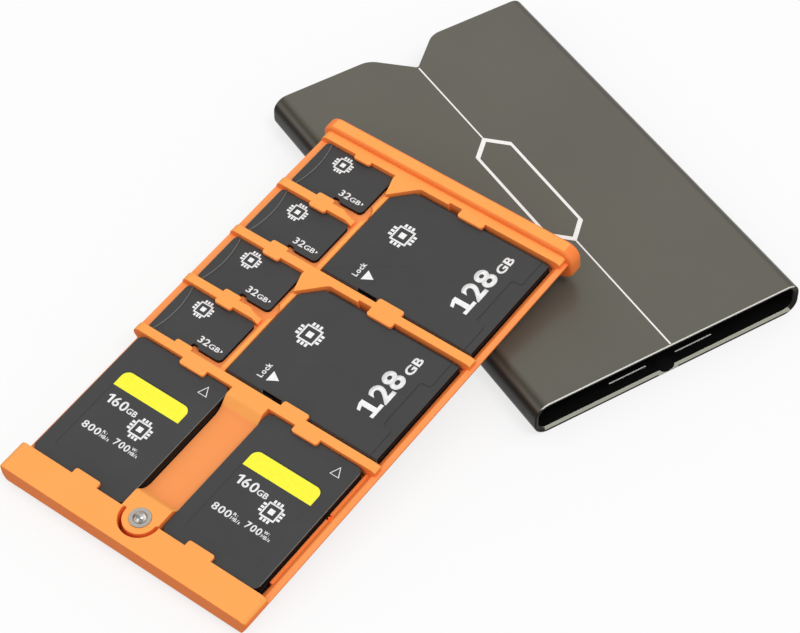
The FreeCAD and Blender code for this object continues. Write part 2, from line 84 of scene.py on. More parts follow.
# Directions of flat marks before they are laid on a piece, and of the sleeve
rightwards = Vector((1, 0, 0))
forwards = Vector((0, 1, 0))
upwards = Vector((0, 0, 1))

# Points of a mesh this near are one point, and one this near a plane lies in it
weld_within = 0.0005
touch_within = 0.01

# Eased edges: their widths, and the angles in degrees under which faces are one plane or shade as one
tray_ease = 0.12
card_ease = 0.06
sleeve_ease = 0.04
ease_steps = 2
sharp_above = 35.0
smooth_below = 24.0
flat_below = 0.5
round_over = {
    "offset_type": "OFFSET",
    "profile": 0.5,
    "affect": "EDGES",
    "clamp_overlap": False,
    "loop_slide": False,
}

# Lips: how far their roots run into the tray, and dip under its tops
lip_root = 0.6
lip_dip = 0.004

# Tray, from its middle line and foot: flange, round ends of the ribs, height of its tops, ledge of its rail,
# and the bands that bound its painted shade
tray_half = 26.5
tray_height = 4.8
flange_drop = 1.15
flange_depth = 2.8
rib_end_inset = 0.55
rib_end_round = 0.95
rib_end_steps = 5
tops_from = 3.45
ledge_from = 23.9
ledge_below = 3.0

# Cards: how far the painted highlight along the small ones' step reaches in, and depth of the large ones'
# near flank, whose wall gets a painted highlight and its top strip painted shade
highlight_reach = 3.0
sd_flank = 0.75

# Shares of a face's normal above which it counts as flat, sloped or turned to one side
flat_share = 0.95
side_share = 0.35
slope_share = 0.5
turned_share = 0.4

# Sleeve: wall, and how much of it a face has to lie behind to count as inside
sleeve_wall = 1.0
inside_share = 0.9

# Mouth of the sleeve: band of painted highlight on its lower lip, deeper at the scoop, then ridges and scoop
mouth_painted_depth = 0.6
lip_painted_from = 0.52
scoop_painted_from = 0.22
scoop_painted_half = 2.1
mouth_painted_height = 1.1
lip_painted_left = -25.6
lip_painted_right = 26.1
ridge_from = 2.2
ridge_to = 2.8
ridge_rise = 0.03
scoop_depth = 3.2
scoop_half = 1.9

# Shares of the normals of the mouth's faces: upright ones and those that face out of the mouth
ridge_up = 0.7
scoop_up = 0.3
lip_up = 0.15
rim_up = 0.6
mouth_out = 0.3
bore_out = 0.5

# Laser marks on the sleeve's top, from its middle
hexagon_half = 3.88
hexagon_shoulder = 11.6
hexagon_tip = 15.3
hexagon_side_width = 0.56
hexagon_tip_drop = 1.2
line_width = 0.3
line_mouth = -43.7
line_notch = 37.3

# Ink and laser marks stand this proud of what carries them, and start this far inside it
mark_rise = 0.012
mark_sink = 0.02

# Rays that look for a piece's surface start this far above it
cast_above = 1.0

# Lettering, in heights of a line: gaps, how much bolder than the plain font, and two forms of the figure one
letter_gap = 0.1
close_gap = 0.04
ink_weight = 0.02
bold_weight = 0.03
flagged_one = ((0.22, 0), (0.37, 0), (0.37, 0.7), (0.25, 0.7), (0.02, 0.56), (0.02, 0.44), (0.22, 0.54))
footed_one = (
    (0, 0), (0.5, 0), (0.5, 0.125), (0.335, 0.125), (0.335, 0.7), (0.2, 0.7),
    (0, 0.61), (0, 0.485), (0.165, 0.555), (0.165, 0.125), (0, 0.125),
)

# What is printed on the cards, in each card's own millimetres: text with low and high corner of its field
micro_words = (
    ("32", (8.9, 2.45), (11.1, 3.9)),
    ("GB", (11.3, 2.5), (13.5, 3.5)),
)
micro_arrow = ((13.75, 2.8), (14.15, 3.1), (13.75, 3.4))
micro_chip = ((3.6, 6.4), (7.4, 10.2))
sd_figures = ("128", (22.5, 6.8), (26.7, 16.5))
sd_words = (
    ("GB", (24.8, 17.2), (26.6, 21.1)),
    ("Lock", (4.85, 2.7), (6.0, 5.9)),
)
sd_arrow = ((6.9, 2.7), (8.85, 3.85), (6.9, 5.0))
sd_chip = ((4.6, 11.9), (9.6, 16.9))
cf_words = (
    ("160", (3.8, 14.1), (8.1, 16.1)),
    ("GB", (8.3, 14.25), (10.4, 15.4)),
    ("800", (3.85, 8.0), (7.6, 9.45)),
    ("R:", (7.85, 8.95), (8.75, 9.55)),
    ("MB/s", (7.85, 8.05), (9.8, 8.75)),
    ("700", (10.65, 8.2), (13.85, 9.6)),
    ("W:", (14.1, 9.1), (15.2, 9.7)),
    ("MB/s", (14.1, 8.2), (15.9, 8.9)),
)
cf_arrow = ((15.75, 24.3), (17.7, 24.3), (16.65, 26.3))
cf_arrow_inside = ((15.94, 24.4), (17.48, 24.4), (16.66, 26.03))
cf_chip = ((10.5, 10.8), (14.9, 15.2))
cf_stripe = {"left": 2.85, "right": 17.15, "low": 17.55, "high": 21.05, "radius": 1.4}
corner_steps = 8

# Sign of a chip, in shares of its width
chip_ring = 0.62
chip_line = 0.1
chip_core = 0.24
chip_legs = 3

# Spring of the ball plunger
coil_turns = 5.5
coil_wire = 0.25
coil_top_gap = 0.16
coil_steps = 24
wire_sides = 10


def linear(code):
    """sRGB hex code to a linear colour."""
    parts = [int(code[i:i + 2], 16) / 255 for i in (1, 3, 5)]
    return [c / 12.92 if c <= 0.04045 else ((c + 0.055) / 1.055) ** 2.4 for c in parts] + [1.0]


def add(tree, kind, inputs=None, **settings):
    """Adds a node to a tree with its settings, and fills or links its inputs."""
    made = tree.nodes.new(kind)
    for name, value in settings.items():
        setattr(made, name, value)
    for key, value in (inputs or {}).items():
        if isinstance(value, bpy.types.NodeSocket):
            tree.links.new(value, made.inputs[key])
        else:
            made.inputs[key].default_value = value
    return made


def new_material(name):
    """Material with an empty tree but for its output and a Principled shader; returns all three."""
    material = bpy.data.materials.new(name)
    material.use_nodes = True
    tree = material.node_tree
    tree.nodes.clear()
    shader = add(tree, "ShaderNodeBsdfPrincipled")
    add(tree, "ShaderNodeOutputMaterial", {"Surface": shader.outputs[0]})
    return material, tree, shader


# Noise keeps near its middle, so this span of it is drawn out to the ends
noise_span = {"From Min": 0.3, "From Max": 0.7}

# Index of refraction of ABS
abs_ior = 1.53


def grain(tree, size_mm):
    """Noise whose grains are about size_mm across."""
    place = add(tree, "ShaderNodeTexCoord").outputs["Object"]
    return add(tree, "ShaderNodeTexNoise", {"Vector": place, "Scale": 1 / (size_mm * MM)}).outputs["Fac"]


def follow(tree, shader, noise, colours=None, roughness=None, relief_mm=None):
    """Lets a noise lead a surface's colour, roughness and relief, those that are given."""
    if colours:
        share = add(tree, "ShaderNodeMapRange", {"Value": noise, **noise_span}).outputs[0]
        ends = {0: share, 6: linear(colours[0]), 7: linear(colours[1])}
        mix = add(tree, "ShaderNodeMix", ends, data_type="RGBA")
        tree.links.new(mix.outputs[2], shader.inputs["Base Color"])
    if roughness:
        ends = {"Value": noise, **noise_span, "To Min": roughness[0], "To Max": roughness[1]}
        tree.links.new(add(tree, "ShaderNodeMapRange", ends).outputs[0], shader.inputs["Roughness"])
    if relief_mm:
        lifted = add(tree, "ShaderNodeBump", {"Height": noise, "Distance": relief_mm * MM})
        tree.links.new(lifted.outputs[0], shader.inputs["Normal"])


# Painted reflections: colour of the anodising by the upright share of the surface's normal, from upright
# sides painted dark with a paler painted streak, to the flat top
slope_painted_reflections = (
    (0.0, "#1F1D1A"),
    (0.26, "#26221E"),
    (0.41, "#231F1B"),
    (0.54, "#3B352F"),
    (0.62, "#544F47"),
    (0.71, "#64615A"),
    (0.81, "#56534B"),
    (0.89, "#48453C"),
    (0.96, "#5B584F"),
    (1.0, "#69675E"),
)


def anodised_aluminium():
    """Grey anodised aluminium, bead blasted before the bath: a dim warm half mirror with an even frosting.

    Its rounded sides are painted darker, with a paler streak, as painted reflections of dark and bright
    surroundings, so the colour follows the slope.
    """
    material, tree, shader = new_material("anodised_aluminium")
    facing = add(tree, "ShaderNodeTexCoord").outputs["Normal"]
    slope = add(tree, "ShaderNodeSeparateXYZ", {0: facing}).outputs[2]
    slope = add(tree, "ShaderNodeMath", {0: slope}, operation="ABSOLUTE").outputs[0]
    # Painted reflections: the ramp darkens the surface by its slope alone
    painted_sheen_ramp = add(tree, "ShaderNodeValToRGB", {0: slope})
    ramp = painted_sheen_ramp.color_ramp.elements
    for place, _ in slope_painted_reflections[1:-1]:
        ramp.new(place)
    for element, (place, code) in zip(ramp, slope_painted_reflections):
        element.position = place
        element.color = linear(code)
    clouds = add(tree, "ShaderNodeMapRange", {"Value": grain(tree, 30.0), **noise_span}).outputs[0]
    greys = {0: clouds, 6: linear("#F6F6F6"), 7: linear("#FFFFFF")}
    shades = add(tree, "ShaderNodeMix", greys, data_type="RGBA")
    both = {0: 1.0, 6: painted_sheen_ramp.outputs[0], 7: shades.outputs[2]}
    colour = add(tree, "ShaderNodeMix", both, data_type="RGBA", blend_type="MULTIPLY").outputs[2]
    tree.links.new(colour, shader.inputs["Base Color"])
    # Blasting grit leaves dimples of about 0.05 mm, drawn at 0.3 mm so that they show
    follow(tree, shader, grain(tree, 0.3), roughness=(0.28, 0.36), relief_mm=0.0015)
    shader.inputs["Metallic"].default_value = 0.3
    shader.inputs["Specular IOR Level"].default_value = 0.1
    return material


def painted_highlight_aluminium(name, first, second):
    """Pale aluminium, a painted highlight on the lit edges of the mouth, with a fine grain."""
    material, tree, shader = new_material(name)
    # A fine grain of about 0.05 mm, drawn at 0.2 mm so that it shows
    follow(tree, shader, grain(tree, 0.2), colours=(first, second), roughness=(0.35, 0.45))
    shader.inputs["Metallic"].default_value = 0.3
    return material


def painted_bore_shade():
    """Inside of the tube painted near black as painted shade: dull, so that it swallows the light."""
    material, tree, shader = new_material("painted_bore_shade")
    follow(tree, shader, grain(tree, 0.4), colours=("#060505", "#0A0908"), roughness=(0.6, 0.75))
    shader.inputs["Specular IOR Level"].default_value = 0.1
    return material


def orange_abs(name, first, second):
    """Orange ABS from a spark-eroded mould: even satin colour with a fine dull grain."""
    material, tree, shader = new_material(name)
    follow(tree, shader, grain(tree, 12.0), colours=(first, second))
    # The mould's grain is about 0.1 mm, drawn at 0.25 mm so that it shows
    follow(tree, shader, grain(tree, 0.25), roughness=(0.5, 0.6), relief_mm=0.002)
    shader.inputs["IOR"].default_value = abs_ior
    shader.inputs["Specular IOR Level"].default_value = 0.12
    return material


def card_abs():
    """Dark grey ABS card shell: matte, with the fine sand of its mould."""
    material, tree, shader = new_material("card_abs")
    follow(tree, shader, grain(tree, 9.0), colours=("#3C3C3C", "#404040"))
    # The mould's sand is about 0.1 mm, drawn at 0.2 mm so that it shows
    follow(tree, shader, grain(tree, 0.2), roughness=(0.5, 0.6), relief_mm=0.0015)
    shader.inputs["IOR"].default_value = abs_ior
    shader.inputs["Specular IOR Level"].default_value = 0.25
    return material


def dull_mottled_plastic(name, dark, light):
    """Dull, slightly mottled plastic: black nylon of the lock sliders, and the cards' black painted shade
    and pale painted highlights.
    """
    material, tree, shader = new_material(name)
    follow(tree, shader, grain(tree, 0.2), colours=(dark, light), roughness=(0.55, 0.65), relief_mm=0.002)
    shader.inputs["Specular IOR Level"].default_value = 0.2
    return material


def gold_plate():
    """Gold plate on the cards' contacts: warm metal with fine wiping marks."""
    material, tree, shader = new_material("gold_plate")
    follow(tree, shader, grain(tree, 0.4), colours=("#D9B25A", "#E6C574"), roughness=(0.22, 0.35))
    shader.inputs["Metallic"].default_value = 1.0
    return material


def turned_steel():
    """Turned stainless steel of the plunger's shell: pale metal with faint tool marks."""
    material, tree, shader = new_material("turned_steel")
    marks = grain(tree, 0.15)
    follow(tree, shader, marks, colours=("#A9A69F", "#B8B5AF"), roughness=(0.28, 0.4), relief_mm=0.002)
    shader.inputs["Metallic"].default_value = 1.0
    return material


def polished_steel():
    """Polished bearing steel of the ball: a near mirror with a little haze."""
    material, tree, shader = new_material("polished_steel")
    # Painted reflections: noise spreads dark and bright blotches over it, as of dark and bright surroundings
    # in the mirror
    follow(tree, shader, grain(tree, 1.3), colours=("#55534F", "#F2F1EE"), roughness=(0.08, 0.14))
    shader.inputs["Metallic"].default_value = 1.0
    return material


def screen_ink(name, thin, thick):
    """Screen-printed ink: dull and opaque, a little thinner here and there."""
    material, tree, shader = new_material(name)
    follow(tree, shader, grain(tree, 0.6), colours=(thin, thick), roughness=(0.5, 0.6))
    return material


def laser_mark():
    """Line burned through the anodising by a laser: frosted, almost white bare metal; also a painted
    highlight on the ridges.
    """
    material, tree, shader = new_material("laser_mark")
    follow(tree, shader, grain(tree, 0.2), colours=("#F2F1EE", "#FCFCFA"), roughness=(0.65, 0.8))
    return material


# The sleeve's grey, with painted reflections on its rounded sides
sleeve_finish = anodised_aluminium()
# Pale painted highlight for the mouth's lower lip
lip_painted_highlight = painted_highlight_aluminium("painted_highlight_aluminium", "#A0A092", "#ABAB9D")
# Paler painted highlight for the mouth's top rim
rim_painted_highlight = painted_highlight_aluminium("painted_rim_highlight", "#CFCEC6", "#DAD9D1")
bore_painted_shade = painted_bore_shade()
tray_finish = orange_abs("orange_abs", "#FFA856", "#FFAC5B")
# Deeper orange copies of the tray's orange, as painted shade on its low faces and sides
tray_low_painted_shade = orange_abs("orange_painted_shade_low", "#FF9C58", "#FFA05C")
tray_side_painted_shade = orange_abs("orange_painted_shade_sides", "#FF8842", "#FF8D46")
card_finish = card_abs()
# Black painted shade for the cards' sides
card_side_painted_shade = dull_mottled_plastic("black_painted_shade", "#070707", "#0C0C0C")
# Pale painted highlight for lines along the cards' edges
card_edge_painted_highlight = dull_mottled_plastic("pale_painted_highlight", "#7E7E7B", "#8A8A87")
lock_finish = dull_mottled_plastic("dull_mottled_plastic", "#0B0B0B", "#141414")
contact_finish = gold_plate()
steel_finish = turned_steel()
ball_finish = polished_steel()
# White of the laser marks, also a painted highlight on the ridges in the mouth
mark_and_ridge_highlight = laser_mark()
white_ink = screen_ink("white_ink", "#F0F0F0", "#FAFAFA")
yellow_ink = screen_ink("yellow_ink", "#FAF52E", "#FFFB38")


def link(name, mesh, *materials):
    """Object at the origin that holds a mesh with its materials."""
    mesh.materials.clear()
    for material in materials:
        mesh.materials.append(material)
    made = bpy.data.objects.new(name, mesh)
    bpy.context.scene.collection.objects.link(made)
    return made


def as_mesh(name, work):
    """Mesh of finished work."""
    mesh = bpy.data.meshes.new(name)
    work.to_mesh(mesh)
    work.free()
    return mesh


def reach(points, direction):
    """Lowest and highest of some points along a direction."""
    lengths = [point.dot(direction) for point in points]
    return min(lengths), max(lengths)


def loose(node):
    """Copy of a CAD node's mesh with its loose triangles joined up."""
    work = bmesh.new()
    work.from_mesh(nodes[node].data)
    bmesh.ops.remove_doubles(work, verts=work.verts, dist=weld_within * MM)
    return work


def ease(work, width):
    """Rounds the sharp outward edges of a mesh over, and smooths its curved faces."""
    flat = math.radians(flat_below)
    bmesh.ops.dissolve_limit(work, angle_limit=flat, verts=work.verts, edges=work.edges)
    limit = math.radians(sharp_above)
    sharp = [edge for edge in work.edges if edge.is_convex and edge.calc_face_angle(0) > limit]
    rounded = bmesh.ops.bevel(work, geom=sharp, offset=width * MM, segments=ease_steps, **round_over)
    strips = set(rounded["faces"])
    for face in work.faces:
        face.smooth = True
    for edge in work.edges:
        border = sum(face in strips for face in edge.link_faces) == 1
        edge.smooth = not border and edge.calc_face_angle(0) < math.radians(smooth_below)


def skin(name, works, *materials):
    """Object from finished work in one or more parts."""
    whole = bmesh.new()
    for work in works:
        whole.from_mesh(as_mesh("part", work))
    return link(name, as_mesh(name, whole), *materials)


def eased(name, node, width, *materials):
    """Skin of a CAD node with its edges eased."""
    work = loose(node)
    ease(work, width)
    return skin(name, [work], *materials)


def baked(made):
    """Mesh of an object with its modifiers worked in."""
    bpy.context.view_layer.update()
    seen = made.evaluated_get(bpy.context.evaluated_depsgraph_get())
    return bpy.data.meshes.new_from_object(seen)


def settle(piece, body, slot, *members):
    """Lets a piece ride on its body in place of CAD nodes, which it hides; slot, the record's finish, is not
    used.
    """
    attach(piece, body)
    if members:
        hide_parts(*members)


def rooted_lips(node):
    """Pair of lips whose roots are drawn out into the rib, bar or neck that they grow from."""
    work = loose(node)
    points = [vertex.co.copy() for vertex in work.verts]
    near, far = reach(points, along)
    top = reach(points, out)[1]
    for vertex in work.verts:
        place = vertex.co.dot(along)
        if min(place - near, far - place) < touch_within * MM:
            # The root dips a hair under the rib's top, so that no two faces share one plane
            dip = lip_dip if top - vertex.co.dot(out) < touch_within * MM else 0
            side = -1 if place - near < far - place else 1
            vertex.co += (along * side * lip_root - out * dip) * MM
    return work


def rounded_ribs(work, middle, foot):
    """Rounds the upper edges of the ribs' right ends over."""
    place = tray_half - rib_end_inset
    ends = []
    for edge in work.edges:
        spots = [vertex.co / MM for vertex in edge.verts]
        beside = all(abs(spot.dot(across) - middle - place) < touch_within for spot in spots)
        if beside and all(abs(spot.dot(out) - foot - tray_height) < touch_within for spot in spots):
            ends.append(edge)
    bmesh.ops.bevel(work, geom=ends, offset=rib_end_round * MM, segments=rib_end_steps, **round_over)


def make_tray():
    """Tray and its lips as the one moulding that they are, with painted shade: sides and low faces a deeper
    orange than the tops.
    """
    finishes = [tray_finish, tray_low_painted_shade, tray_side_painted_shade]
    members = ["tray"] + [name for name in nodes if "_tabs_" in name]
    plunger = [vertex.co / MM for vertex in nodes["plunger_shell"].data.vertices]
    middle = sum(reach(plunger, across)) / 2
    points = [vertex.co / MM for vertex in nodes["tray"].data.vertices]
    foot = reach(points, out)[0] + flange_drop
    flange_end = reach(points, along)[1]
    tray = loose("tray")
    rounded_ribs(tray, middle, foot)
    works = [tray] + [rooted_lips(name) for name in members[1:]]
    for work in works:
        ease(work, tray_ease)
    moulding = skin("tray_moulding", works, *finishes)
    # Painted shade: the tops keep the plain orange; sides, the rail's ledge and low flat faces get deeper
    # orange copies
    for face in moulding.data.polygons:
        spot = face.center / MM
        height = spot.dot(out) - foot
        on_ledge = spot.dot(across) - middle > ledge_from and height < ledge_below
        share = flat_share if flange_end - spot.dot(along) < flange_depth else slope_share
        finish = tray_side_painted_shade
        if abs(face.normal.dot(out)) >= share and not on_ledge:
            if height > tops_from:
                finish = tray_finish
            elif abs(face.normal.dot(across)) < turned_share:
                finish = tray_low_painted_shade
        face.material_index = finishes.index(finish)
    settle(moulding, "tray", "tray_plastic", *members)


def split_lip(work, low, spot, normal):
    """Cuts the faces of the mouth's lower lip along a plane."""
    parts = set()
    for face in work.faces:
        place = face.calc_center_median() / MM - low
        if place.y < mouth_painted_depth and place.z < mouth_painted_height:
            parts.update((face, *face.edges, *face.verts))
    bmesh.ops.bisect_plane(work, geom=list(parts), plane_co=Vector(spot) * MM, plane_no=normal)


def make_sleeve():
    """Sleeve with a bore painted black as painted shade, and painted highlights on its mouth's lower lip,
    top rim and ridge tops.
    """
    finishes = [sleeve_finish, lip_painted_highlight, bore_painted_shade, mark_and_ridge_highlight, rim_painted_highlight]
    low, high = [Vector(corner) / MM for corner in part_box("sleeve")]
    work = loose("sleeve")
    ease(work, sleeve_ease)
    # The lip is split where its painted highlight ends, lower at the scoop; below that it keeps the sleeve's
    # colour, which the ramp paints dark
    for height in (lip_painted_from, scoop_painted_from):
        split_lip(work, low, (0, 0, low.z + height), (0, 0, 1))
    for side in (-scoop_painted_half, scoop_painted_half):
        split_lip(work, low, (side, 0, 0), (1, 0, 0))
    tube = skin("sleeve_skin", [work], *finishes)
    inside = inside_share * sleeve_wall
    for face in tube.data.polygons:
        x, y, z = face.center / MM
        up, back = face.normal.z, face.normal.y
        behind = y - low.y
        within = low.x + inside < x < high.x - inside and low.z + inside < z < high.z - inside
        on_ridge = within and ridge_from < behind < ridge_to and up > ridge_up
        on_ridge = on_ridge and z > sleeve_wall + ridge_rise
        in_scoop = abs(x) < scoop_half and behind < scoop_depth and z < sleeve_wall and up > scoop_up
        at_mouth = behind < mouth_painted_depth and back < -mouth_out
        lip_from = scoop_painted_from if abs(x) < scoop_painted_half else lip_painted_from
        on_lip = low.z + lip_from < z < low.z + mouth_painted_height and lip_painted_left < x < lip_painted_right and up > lip_up
        finish = sleeve_finish
        # Painted highlight on the ridge tops in the mouth, in the white of the laser marks
        if on_ridge:
            finish = mark_and_ridge_highlight
        # Painted highlight on the lower lip of the mouth
        elif at_mouth and on_lip:
            finish = lip_painted_highlight
        # Painted highlight on the top rim of the mouth
        elif at_mouth and z > high.z - mouth_painted_height and up > rim_up:
            finish = rim_painted_highlight
        # Painted shade: the bore is painted near black
        elif (in_scoop or within) and abs(back) < bore_out:
            finish = bore_painted_shade
        face.material_index = finishes.index(finish)
    settle(tube, "sleeve", "sleeve_metal", "sleeve")
    return tube


def card_shell(name, node, body):
    """Skin of a card's shell: grey faces, sides painted black as painted shade, and a pale painted highlight
    along an edge.
    """
    finishes = [card_finish, card_side_painted_shade, card_edge_painted_highlight]
    shell = eased(name, node, card_ease, *finishes)
    points = [vertex.co / MM for vertex in shell.data.vertices]
    left, right = reach(points, across)
    near = reach(points, along)[0]
    for face in shell.data.polygons:
        upright = abs(face.normal.dot(out))
        beside = face.center.dot(across) / MM
        # Painted highlight: pale lines on faces turned across, on the small cards' step and the large flat
        # cards' right edge
        highlighted = upright < flat_share and face.normal.dot(across) > side_share
        if body.startswith("micro"):
            highlighted = highlighted and beside - left < highlight_reach
        else:
            on_edge = face.normal.dot(out) > side_share and right - beside < card_ease
            highlighted = highlighted and on_edge and "cf_cover" in node
        # The large cards' near flank: its wall gets the pale painted highlight, as of a lit strip, and the
        # strip above it black painted shade
        front = "sd_cover" in node and face.center.dot(along) / MM - near < sd_flank
        finish = card_finish
        if highlighted or (front and upright < side_share):
            finish = card_edge_painted_highlight
        # Other sides get the black painted shade
        elif upright < side_share or (front and upright < flat_share):
            finish = card_side_painted_shade
        face.material_index = finishes.index(finish)
    settle(shell, body, "card_plastic", node)
    return shell


def make_cards():
    """Skins of all cards; returns the upper ones by the name of the body that each rides on."""
    tops = {}
    for i in micro_cards:
        tops[f"micro_{i}"] = card_shell(f"micro_shell_{i}", f"micro_card_{i}", f"micro_{i}")
    for kind, numbers in (("sd", large_cards), ("cf", flat_cards)):
        for i in numbers:
            body = f"{kind}_{i}"
            tops[body] = card_shell(f"{kind}_top_{i}", f"{kind}_cover_{i}", body)
            card_shell(f"{kind}_bottom_{i}", f"{kind}_base_{i}", body)
    return tops


def finish_plain_nodes():
    """Finishes of the CAD nodes whose shape is right as it is."""
    finishes = {"plunger_shell": steel_finish, "plunger_ball": ball_finish}
    for name in nodes:
        if "contacts" in name or "board" in name:
            finishes[name] = contact_finish
        if "sd_lock" in name:
            finishes[name] = lock_finish
    for name, material in finishes.items():
        nodes[name].data.materials.clear()
        nodes[name].data.materials.append(material)


def new_growth(name, sockets):
    """Geometry Nodes tree with named inputs; returns it and its input sockets."""
    tree = bpy.data.node_groups.new(name, "GeometryNodeTree")
    tree.interface.new_socket("Geometry", in_out="INPUT", socket_type="NodeSocketGeometry")
    tree.interface.new_socket("Geometry", in_out="OUTPUT", socket_type="NodeSocketGeometry")
    for label, kind in sockets.items():
        tree.interface.new_socket(label, in_out="INPUT", socket_type=kind)
    return tree, add(tree, "NodeGroupInput").outputs


def end_growth(tree, shape, material):
    """Ends a tree in Realize Instances and Set Material."""
    whole = add(tree, "GeometryNodeRealizeInstances", {"Geometry": shape}).outputs[0]
    painted = add(tree, "GeometryNodeSetMaterial", {"Geometry": whole, "Material": material}).outputs[0]
    add(tree, "NodeGroupOutput", {0: painted})


def grown(tree, values, mesh=None):
    """Plain mesh that a tree makes, from a starting mesh and named values."""
    holder = bpy.data.objects.new(tree.name, mesh or bpy.data.meshes.new(tree.name))
    bpy.context.scene.collection.objects.link(holder)
    growth = holder.modifiers.new(tree.name, "NODES")
    growth.node_group = tree
    for item in tree.interface.items_tree:
        if item.name in values:
            growth[item.identifier] = values[item.name]
    result = baked(holder)
    bpy.data.objects.remove(holder)
    return result


def chip_tree():
    """Sign of a chip, one unit wide: a square ring with a core and a row of legs on each side."""
    sizes = {
        "Ring": "NodeSocketFloat",
        "Line": "NodeSocketFloat",
        "Core": "NodeSocketFloat",
        "Legs": "NodeSocketInt",
        "Finish": "NodeSocketMaterial",
    }
    tree, given = new_growth("chip_sign", sizes)
    frame_size = {"Width": given["Ring"], "Height": given["Ring"]}
    square = add(tree, "GeometryNodeCurvePrimitiveQuadrilateral", frame_size, mode="RECTANGLE").outputs[0]
    half_line = add(tree, "ShaderNodeMath", {0: given["Line"], 1: 0.5}, operation="MULTIPLY").outputs[0]
    left = add(tree, "ShaderNodeMath", {0: half_line, 1: -1.0}, operation="MULTIPLY").outputs[0]
    start = add(tree, "ShaderNodeCombineXYZ", {"X": left}).outputs[0]
    end = add(tree, "ShaderNodeCombineXYZ", {"X": half_line}).outputs[0]
    stroke = add(tree, "GeometryNodeCurvePrimitiveLine", {"Start": start, "End": end}).outputs[0]
    square = add(tree, "GeometryNodeSetCurveNormal", {"Curve": square}, mode="Z_UP").outputs[0]
    ring = add(tree, "GeometryNodeCurveToMesh", {"Curve": square, "Profile Curve": stroke}).outputs[0]
    core_size = {"Size X": given["Core"], "Size Y": given["Core"], "Vertices X": 2, "Vertices Y": 2}
    core = add(tree, "GeometryNodeMeshGrid", core_size).outputs[0]
    # Legs run from the ring to the edge of the unit square
    half_ring = add(tree, "ShaderNodeMath", {0: given["Ring"], 1: 0.5}, operation="MULTIPLY").outputs[0]
    ring_edge = add(tree, "ShaderNodeMath", {0: half_ring, 1: half_line}).outputs[0]
    leg_length = add(tree, "ShaderNodeMath", {0: 0.5, 1: ring_edge}, operation="SUBTRACT").outputs[0]
    leg_middle = add(tree, "ShaderNodeMath", {0: leg_length, 1: 0.5}, operation="MULTIPLY").outputs[0]
    leg_middle = add(tree, "ShaderNodeMath", {0: ring_edge, 1: leg_middle}).outputs[0]
    leg_size = {"Size X": given["Line"], "Size Y": leg_length, "Vertices X": 2, "Vertices Y": 2}
    leg = add(tree, "GeometryNodeMeshGrid", leg_size).outputs[0]
    more = add(tree, "ShaderNodeMath", {0: given["Legs"], 1: 1.0}).outputs[0]
    pitch = add(tree, "ShaderNodeMath", {0: given["Ring"], 1: more}, operation="DIVIDE").outputs[0]
    first = add(tree, "ShaderNodeMath", {0: pitch, 1: half_ring}, operation="SUBTRACT").outputs[0]
    row_start = add(tree, "ShaderNodeCombineXYZ", {"X": first, "Y": leg_middle}).outputs[0]
    step = add(tree, "ShaderNodeCombineXYZ", {"X": pitch}).outputs[0]
    row_size = {"Count": given["Legs"], "Start Location": row_start, "Offset": step}
    row = add(tree, "GeometryNodeMeshLine", row_size, mode="OFFSET").outputs[0]
    legs = add(tree, "GeometryNodeInstanceOnPoints", {"Points": row, "Instance": leg}).outputs[0]
    # Four turns of the row about the middle
    corners = add(tree, "GeometryNodeMeshLine", {"Count": 4, "Offset": (0, 0, 0)}, mode="OFFSET").outputs[0]
    index = add(tree, "GeometryNodeInputIndex").outputs[0]
    turn = add(tree, "ShaderNodeMath", {0: index, 1: math.pi / 2}, operation="MULTIPLY").outputs[0]
    spin = add(tree, "ShaderNodeCombineXYZ", {"Z": turn}).outputs[0]
    around = {"Points": corners, "Instance": legs, "Rotation": spin}
    all_legs = add(tree, "GeometryNodeInstanceOnPoints", around).outputs[0]
    whole = add(tree, "GeometryNodeJoinGeometry")
    for piece in (ring, core, all_legs):
        tree.links.new(piece, whole.inputs[0])
    end_growth(tree, whole.outputs[0], given["Finish"])
    return tree


def coil_tree():
    """Round wire wound to a coil that stands on the XY plane."""
    sizes = {
        "Turns": "NodeSocketFloat",
        "Radius": "NodeSocketFloat",
        "Height": "NodeSocketFloat",
        "Wire": "NodeSocketFloat",
        "Finish": "NodeSocketMaterial",
    }
    tree, given = new_growth("wound_coil", sizes)
    winding = {
        "Resolution": coil_steps,
        "Rotations": given["Turns"],
        "Start Radius": given["Radius"],
        "End Radius": given["Radius"],
        "Height": given["Height"],
    }
    path = add(tree, "GeometryNodeCurveSpiral", winding).outputs[0]
    half_wire = add(tree, "ShaderNodeMath", {0: given["Wire"], 1: 0.5}, operation="MULTIPLY").outputs[0]
    section = {"Resolution": wire_sides, "Radius": half_wire}
    profile = add(tree, "GeometryNodeCurvePrimitiveCircle", section).outputs[0]
    swept = {"Curve": path, "Profile Curve": profile, "Fill Caps": True}
    end_growth(tree, add(tree, "GeometryNodeCurveToMesh", swept).outputs[0], given["Finish"])
    return tree


def make_spring():
    """Coil of the ball plunger, in the space of the plain tube that it replaces."""
    points = [vertex.co for vertex in nodes["plunger_spring"].data.vertices]
    low, high = reach(points, out)
    left, right = reach(points, across)
    near, far = reach(points, along)
    wire = coil_wire * MM
    height = high - low - coil_top_gap * MM
    values = {
        "Turns": coil_turns,
        "Radius": (right - left - wire) / 2,
        "Height": height - wire,
        "Wire": wire,
        "Finish": steel_finish,
    }
    mesh = grown(coil_tree(), values)
    foot = across * (left + right) / 2 + along * (near + far) / 2 + out * low
    for vertex in mesh.vertices:
        x, y, z = vertex.co
        vertex.co = foot + across * x + along * y + out * (z + wire / 2)
    mesh.shade_smooth()
    coil = link("plunger_coil", mesh, steel_finish)
    settle(coil, "tray", "steel", "plunger_spring")
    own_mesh(coil)


